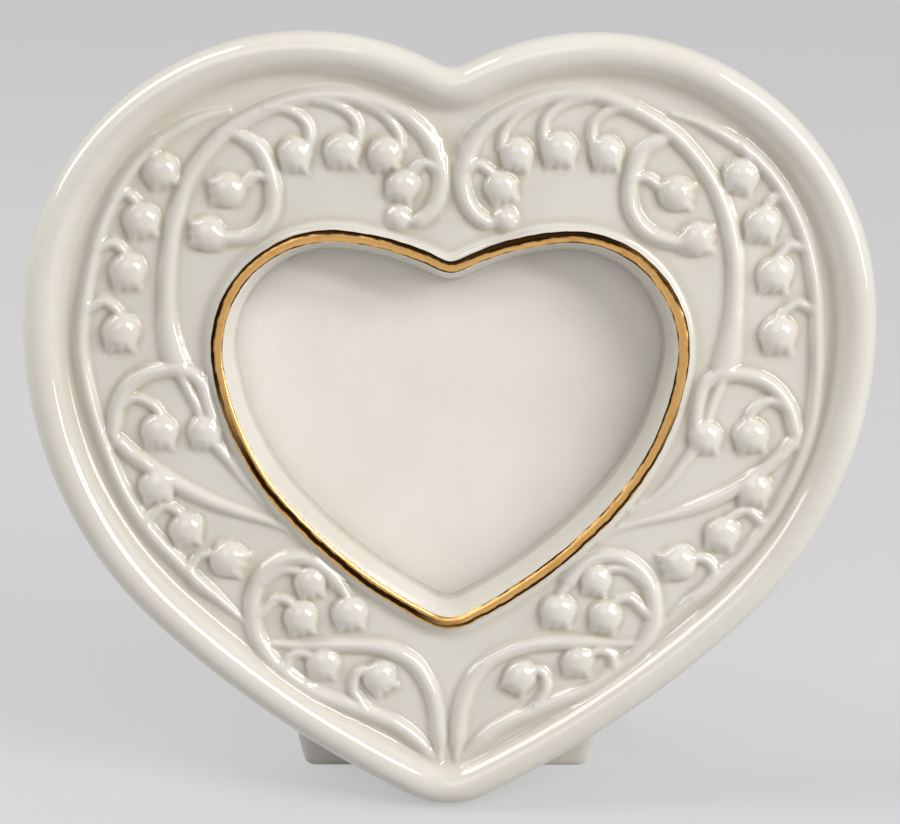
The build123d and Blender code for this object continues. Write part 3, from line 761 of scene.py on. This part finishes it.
def sheet(name, forward, thickness, material):
    """A flat heart shaped sheet that stands in for the frame's own, its front this far forward."""
    line, away = heart_ring(OPENING, OPENING_TIP_RISE, COLUMNS // 2)
    flat = line + away * (REBATE_OVERHANG - SHEET_CLEARANCE)
    thickness -= SHEET_GAP
    middle = np.array((0, flat[:, 1].mean()))
    count = len(flat)
    shares = (0.35, 0.7, 1.0)
    rows = [(share, forward) for share in shares]
    rows += [(share, forward - thickness) for share in reversed(shares)]
    places = [at_level(middle + (flat - middle) * share, level) for share, level in rows]
    faces = ring_faces(len(rows), count, False)
    last = len(rows) * count
    for column in range(count):
        beside = (column + 1) % count
        faces.append((beside, column, last))
        faces.append((last - count + column, last - count + beside, last + 1))
    poles = [(*middle, forward), (*middle, forward - thickness)]
    points = to_frame(np.concatenate((*places, poles)))
    piece = make_piece(name + "_sheet", points, faces, material, smooth=False)
    turn_outwards(piece)
    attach(piece, BODY)
    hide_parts(name)
    return piece


# Feet, from the floor up. Width, draft and front are as the photograph shows them, the rest as drawn.
FOOT_SPREAD, FOOT_WIDTH = 19.0, 13.0
FOOT_FRONT, FOOT_REACH = 12.7, 38.0
FOOT_LOW_RISE, FOOT_TOP_RISE = 12.0, 29.0
FOOT_ROOT, FOOT_HOLLOW, FOOT_TOE, FOOT_HEEL, FOOT_DRAFT = 2.0, 2.5, 7.5, 4.5, 13.0
FOOT_EASE, FOOT_FLARE, FLARE_START, FLARE_FULL = 0.5, 2.6, 16, 22
FOOT_LEAST_DEPTH = 0.6
FOOT_CORNERS, FOOT_BLUNTNESS = 64, 12.0


def foot(side, material):
    """A foot cast on behind, rounded at its edges and spreading where it joins the back."""
    tip_line = FACE_ORIGIN.y + SIDE_DEPTH * RISE
    toe, heel = tip_line + FOOT_FRONT, tip_line + FOOT_REACH
    root = FOOT_ROOT - BODY_DEPTH

    def beside(up, forward):
        return FACE_ORIGIN.y + up * RUN - forward * RISE, FACE_ORIGIN.z + up * RISE + forward * RUN

    low, top = beside(FOOT_LOW_RISE, root), beside(FOOT_TOP_RISE, root)
    levels = [0.0, 0.3, 0.8, 1.5, *np.linspace(2.5, top[1] - 0.4, 30), top[1] + 0.6]
    chord = np.array(top) - np.array((heel, FOOT_HEEL))
    points = []
    for level in levels:
        under = min(max((level - FOOT_TOE) / (low[1] - FOOT_TOE), 0), 1)
        front = toe + (low[0] - toe) * under**1.5 if under < 1 else beside(0, root)[0] + level * RUN / RISE
        if level <= FOOT_HEEL:
            back = heel
        else:
            share = min((level - FOOT_HEEL) / (top[1] - FOOT_HEEL), 1)
            back = heel + chord[0] * share - 4 * FOOT_HOLLOW * share * (1 - share)
        back = max(back, front + FOOT_LEAST_DEPTH)
        half = FOOT_WIDTH / 2 + level * tan(radians(FOOT_DRAFT))
        inset = FOOT_EASE * (1 - min(level / 1.2, 1)) ** 2
        flare = FOOT_FLARE * smooth_step(level, FLARE_START, FLARE_FULL)
        middle, depth = (front + back) / 2, (back - front) / 2 - inset
        for corner in range(FOOT_CORNERS):
            turn = 2 * pi * corner / FOOT_CORNERS
            reach = abs(cos(turn)) ** FOOT_BLUNTNESS + abs(sin(turn)) ** FOOT_BLUNTNESS
            reach **= -1 / FOOT_BLUNTNESS
            across, along = (half - inset) * reach * cos(turn), depth * reach * sin(turn)
            y = middle + along
            behind = (y - beside(0, -BODY_DEPTH)[0] - level * RUN / RISE) * RISE
            if behind < flare:
                gap = min(max(behind, 0), flare)
                wider = flare - sqrt(flare**2 - (flare - gap) ** 2)
                across += np.sign(across) * wider * abs(cos(turn)) ** 0.5
            points.append((side * FOOT_SPREAD + across, y, level))
    faces = ring_faces(len(levels), FOOT_CORNERS, False)
    faces.append(tuple(reversed(range(FOOT_CORNERS))))
    faces.append(tuple(range((len(levels) - 1) * FOOT_CORNERS, len(levels) * FOOT_CORNERS)))
    name = "cast_foot_right" if side > 0 else "cast_foot_left"
    piece = make_piece(name, np.array(points) * MM, faces, material)
    turn_outwards(piece)
    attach(piece, BODY)
    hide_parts("porcelain_body")


# Fixings at the back, with the sizes of the frame's own drawing
BUTTON_HEADINGS = {"upper": 180.0, "lower": 48.0}
BUTTON_STANDOFF, BUTTON_GAP = 6.5, 0.1
BUTTON_WIDTH, BUTTON_REACH, BUTTON_THICKNESS = 8.0, 9.0, 1.0
BUTTON_TAB_RISE, BUTTON_TAB_RUN, BUTTON_BEND = 1.4, 2.4, 0.8
BUTTON_HOLE, BUTTON_EDGE = 1.56, 0.25
SCREW_SIZES = {
    "Head Radius": 3.0, "Head Height": 1.8, "Slot Width": 0.9, "Slot Depth": 0.8, "Shaft Radius": 1.5,
    "Shaft Length": 8.0,
}
SCREW_SEED = 7
SHARP_ANGLE = 40


def button_seats():
    """At each pivot, a plane on the back whose x points at the board and whose z points out."""
    seats = {}
    for level, heading in BUTTON_HEADINGS.items():
        at, place = 0.0, Vector((0, OPENING_TIP_RISE))
        for radius, turn in OPENING:
            end = min(at + turn, heading) if turn > 0 else at
            start, stop = radians(at), radians(end)
            place += radius * Vector((sin(stop) - sin(start), cos(start) - cos(stop)))
            at = end
        place += (REBATE_OVERHANG + BUTTON_STANDOFF) * Vector((sin(radians(heading)), -cos(radians(heading))))
        for side, hand in (("right", 1), ("left", -1)):
            inwards = Vector((-hand * sin(radians(heading)), cos(radians(heading)), 0))
            out = Vector((0, 0, -1))
            turned = FACE_TURN @ Matrix((inwards, out.cross(inwards), out)).transposed()
            spot = FACE_ORIGIN + FACE_TURN @ Vector((hand * place.x, place.y, -BODY_DEPTH))
            seats[f"{level}_{side}"] = Matrix.Translation(spot * MM) @ turned.to_4x4()
    return seats


def turn_button(place, seat, material):
    """A pressed strip with round ends, eased edges, a pivot hole and an end bent up for the finger."""
    columns = 96
    turn = np.arange(columns) * 2 * pi / columns
    circle = np.stack((np.cos(turn), np.sin(turn)), 1)
    outline = circle * BUTTON_WIDTH / 2
    outline[:, 0] += np.where(circle[:, 0] > 0, BUTTON_REACH, 0) * smooth_step(circle[:, 0], 0, 0.02)
    shares = (0.0, 0.05, 0.25, 0.5, 0.75, 0.96)
    face = [circle * BUTTON_HOLE * (1 - share) + (outline - circle * BUTTON_EDGE) * share for share in shares]
    rows = [(flat, 0) for flat in face]
    for inset, level in ((0.3, 0.08), (0.0, 0.3), (0.0, 0.7), (0.3, 0.92)):
        rows.append((outline - circle * BUTTON_EDGE * inset, level))
    rows += [(flat, 1) for flat in reversed(face)]
    points = np.array([at_level(flat, BUTTON_THICKNESS * level) for flat, level in rows])
    bend = BUTTON_REACH + BUTTON_WIDTH / 2 - BUTTON_TAB_RUN
    past = points[..., 0] - bend
    rise = BUTTON_TAB_RISE / BUTTON_TAB_RUN * blend_over(np.zeros_like(past), past, BUTTON_BEND)
    points[..., 2] += BUTTON_GAP + rise
    faces = ring_faces(len(rows), columns)
    piece = make_piece(f"turn_button_{place}_strip", points.reshape(-1, 3), faces, material)
    piece.data.transform(seat @ Matrix.Scale(MM, 4))
    turn_outwards(piece)
    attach(piece, f"{place}_button")
    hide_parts(f"turn_button_{place}")


class Tree:
    """A Geometry Nodes tree being built."""

    def __init__(self, name, inputs):
        self.group = bpy.data.node_groups.new(name, "GeometryNodeTree")
        self.group.interface.new_socket("Geometry", in_out="INPUT", socket_type="NodeSocketGeometry")
        for label, kind in inputs:
            self.group.interface.new_socket(label, in_out="INPUT", socket_type=kind)
        self.group.interface.new_socket("Geometry", in_out="OUTPUT", socket_type="NodeSocketGeometry")
        self.given = self.group.nodes.new("NodeGroupInput")
        self.result = self.group.nodes.new("NodeGroupOutput")

    def add(self, kind, values=None, **settings):
        """A new node: its settings, and its inputs as plain values or as outputs of other nodes."""
        node = self.group.nodes.new(kind)
        for label, value in settings.items():
            setattr(node, label, value)
        for label, value in (values or {}).items():
            if isinstance(value, bpy.types.NodeSocket):
                self.group.links.new(value, node.inputs[label])
            else:
                node.inputs[label].default_value = value
        return node

    def take(self, label):
        """A named input of the tree."""
        return self.given.outputs[label]

    def grow(self, host, values):
        """The plain mesh that the tree makes from a host mesh."""
        carrier = bpy.data.objects.new(self.group.name, host)
        bpy.context.scene.collection.objects.link(carrier)
        modifier = carrier.modifiers.new(self.group.name, "NODES")
        modifier.node_group = self.group
        for socket in self.group.interface.items_tree:
            if socket.in_out == "INPUT" and socket.name in values:
                modifier[socket.identifier] = values[socket.name]
        depsgraph = bpy.context.evaluated_depsgraph_get()
        mesh = bpy.data.meshes.new_from_object(carrier.evaluated_get(depsgraph), depsgraph=depsgraph)
        bpy.data.objects.remove(carrier)
        return mesh


def screw_tree():
    """Slotted pan head screws, one at each point, each stopped at its own turn."""
    inputs = [(label, "NodeSocketFloat") for label in SCREW_SIZES]
    inputs += [("Seed", "NodeSocketInt"), ("Finish", "NodeSocketMaterial")]
    tree = Tree("Slotted screws", inputs)

    def maths(operation, first, second):
        node = tree.add("ShaderNodeMath", {0: first, 1: second}, operation=operation)
        return node.outputs[0]

    ball = tree.add("GeometryNodeMeshUVSphere", {"Segments": 48, "Rings": 24, "Radius": 1.0})
    place = tree.add("ShaderNodeSeparateXYZ", {0: tree.add("GeometryNodeInputPosition").outputs[0]})
    dome = maths("POWER", maths("MAXIMUM", place.outputs["Z"], 0.0), 0.55)
    domed = tree.add("ShaderNodeCombineXYZ", {
        "X": maths("MULTIPLY", place.outputs["X"], tree.take("Head Radius")),
        "Y": maths("MULTIPLY", place.outputs["Y"], tree.take("Head Radius")),
        "Z": maths("MULTIPLY", dome, tree.take("Head Height")),
    })
    head = tree.add("GeometryNodeSetPosition", {
        "Geometry": ball.outputs["Mesh"], "Position": domed.outputs[0],
    })
    cut = tree.add("ShaderNodeCombineXYZ", {
        "X": maths("MULTIPLY", tree.take("Head Radius"), 3.0),
        "Y": tree.take("Slot Width"),
        "Z": maths("MULTIPLY", tree.take("Slot Depth"), 2.0),
    })
    lift = tree.add("ShaderNodeCombineXYZ", {"Z": tree.take("Head Height")})
    bar = tree.add("GeometryNodeMeshCube", {"Size": cut.outputs[0]})
    raised = tree.add("GeometryNodeTransform", {
        "Geometry": bar.outputs["Mesh"], "Translation": lift.outputs[0],
    })
    slotted = tree.add("GeometryNodeMeshBoolean", {
        "Mesh 1": head.outputs["Geometry"], "Mesh 2": raised.outputs["Geometry"],
    }, operation="DIFFERENCE", solver="EXACT")
    rod = tree.add("GeometryNodeMeshCylinder", {
        "Vertices": 32, "Radius": tree.take("Shaft Radius"), "Depth": tree.take("Shaft Length"),
    })
    sink = tree.add("ShaderNodeCombineXYZ", {"Z": maths("MULTIPLY", tree.take("Shaft Length"), -0.5)})
    shaft = tree.add("GeometryNodeTransform", {
        "Geometry": rod.outputs["Mesh"], "Translation": sink.outputs[0],
    })
    screw = tree.add("GeometryNodeJoinGeometry")
    for part in (slotted.outputs["Mesh"], shaft.outputs["Geometry"]):
        tree.group.links.new(part, screw.inputs["Geometry"])
    spin = tree.add("FunctionNodeRandomValue", {
        "Max": (0.0, 0.0, 2 * pi), "Seed": tree.take("Seed"),
    }, data_type="FLOAT_VECTOR")
    stopped = tree.add("FunctionNodeEulerToRotation", {"Euler": spin.outputs["Value"]})
    placed = tree.add("GeometryNodeInstanceOnPoints", {
        "Points": tree.take("Geometry"), "Instance": screw.outputs["Geometry"],
        "Rotation": stopped.outputs[0],
    })
    real = tree.add("GeometryNodeRealizeInstances", {"Geometry": placed.outputs["Instances"]})
    finished = tree.add("GeometryNodeSetMaterial", {
        "Geometry": real.outputs["Geometry"], "Material": tree.take("Finish"),
    })
    tree.group.links.new(finished.outputs["Geometry"], tree.result.inputs["Geometry"])
    return tree


def button_screws(seats, material):
    """The four screws that the turn buttons pivot on."""
    back = seats["upper_right"].to_3x3().to_4x4()
    rise = (2 * BUTTON_GAP + BUTTON_THICKNESS) * MM
    spots = [back.inverted() @ seat.translation + Vector((0, 0, rise)) for seat in seats.values()]
    host = bpy.data.meshes.new("screw spots")
    host.from_pydata(spots, [], [])
    sizes = {label: size * MM for label, size in SCREW_SIZES.items()}
    mesh = screw_tree().grow(host, sizes | {"Seed": SCREW_SEED, "Finish": material})
    mesh.transform(back)
    mesh.set_sharp_from_angle(angle=radians(SHARP_ANGLE))
    piece = bpy.data.objects.new("slotted_screws", mesh)
    bpy.context.scene.collection.objects.link(piece)
    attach(piece, BODY)
    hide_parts(*[f"button_screw_{place}" for place in seats])


def dress(name, material):
    """A node of the frame keeps its shape and gets this finish."""
    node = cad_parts[name]
    node.data.materials.clear()
    node.data.materials.append(material)


# Floor, lights and camera
def floor(material):
    """A wide pale floor."""
    reach = 3.0
    corners = [(-reach, -reach, 0), (reach, -reach, 0), (reach, reach, 0), (-reach, reach, 0)]
    piece = make_piece("floor", corners, [(0, 1, 2, 3)], material)


def soft_light(name, place, aim, width, height, power, roll=0.0):
    """A soft box that faces a point of the object, rolled about its aim."""
    data = bpy.data.lights.new(name, "AREA")
    data.shape = "RECTANGLE"
    data.size, data.size_y = width, height
    data.energy = power
    lamp = bpy.data.objects.new(name, data)
    lamp.location = place
    facing = (Vector(aim) - Vector(place)).to_track_quat("-Z", "Y")
    lamp.rotation_euler = (facing @ Quaternion((0, 0, 1), radians(roll))).to_euler()
    bpy.context.scene.collection.objects.link(lamp)


def studio():
    """Two long soft boxes on the right, one high on the left, a weak one in front, and an even surround."""
    middle = (0, 0, 0.07)
    soft_light("key_near", (0.62, -0.50, 0.42), middle, 0.12, 0.7, 3.0, 40)
    soft_light("key_far", (0.67, -0.35, 0.54), middle, 0.12, 0.7, 3.0, 40)
    soft_light("strip_left", (-0.50, 0.02, 0.60), middle, 0.3, 0.7, 3.2)
    soft_light("front_fill", (-0.22, -0.80, 0.74), middle, 0.6, 0.6, 1.5)
    world = bpy.data.worlds.new("studio")
    bpy.context.scene.world = world
    world.use_nodes = True
    nodes, links = world.node_tree.nodes, world.node_tree.links
    nodes["Background"].inputs["Color"].default_value = (0.95, 0.96, 0.98, 1)
    level = nodes.new("ShaderNodeMapRange")
    level.inputs["To Min"].default_value = 0.30
    level.inputs["To Max"].default_value = 0.62
    links.new(seen_or_mirrored(nodes, links), level.inputs["Value"])
    links.new(level.outputs["Result"], nodes["Background"].inputs["Strength"])


def camera():
    """The photograph's camera, set from the heart's own face."""
    tilt, yaw, roll = radians(VIEW_ELEVATION - LEAN), radians(VIEW_YAW), radians(VIEW_ROLL)
    back = Vector((-sin(yaw) * cos(tilt), sin(tilt), cos(yaw) * cos(tilt)))
    right = Vector((0, 1, 0)).cross(back).normalized()
    up = back.cross(right)
    right, up = right * cos(roll) + up * sin(roll), up * cos(roll) - right * sin(roll)
    turn = FACE_TURN @ Matrix((right, up, back)).transposed()
    place = FACE_ORIGIN + FACE_TURN @ (Vector((0, VIEW_CENTRE_RISE, 0)) + back * VIEW_DISTANCE)
    data = bpy.data.cameras.new("camera")
    data.sensor_width = SENSOR_WIDTH
    data.lens = PIXELS_PER_MM * VIEW_DISTANCE / PICTURE_WIDTH * SENSOR_WIDTH
    data.clip_start = 0.01
    eye = bpy.data.objects.new("camera", data)
    eye.matrix_world = Matrix.Translation(place * MM) @ turn.to_4x4()
    bpy.context.scene.collection.objects.link(eye)
    bpy.context.scene.camera = eye


bpy.context.scene.view_settings.view_transform = "Standard"
camera()
studio()
floor(floor_paper())
glaze = porcelain()
casting(glaze)
for side in (-1, 1):
    foot(side, glaze)
gilded_lip(gilding())
sheet("clear_window", -REBATE_DEPTH, WINDOW_THICKNESS, clear_sheet())
sheet("insert_card", -REBATE_DEPTH - WINDOW_THICKNESS, CARD_THICKNESS, card_paper())
dress("backing_board", fibreboard())
SEATS = button_seats()
brass, plastic = pressed_brass(), plug_plastic()
for place, seat in SEATS.items():
    turn_button(place, seat, brass)
    dress(f"screw_plug_{place}", plastic)
button_screws(SEATS, zinc_steel())
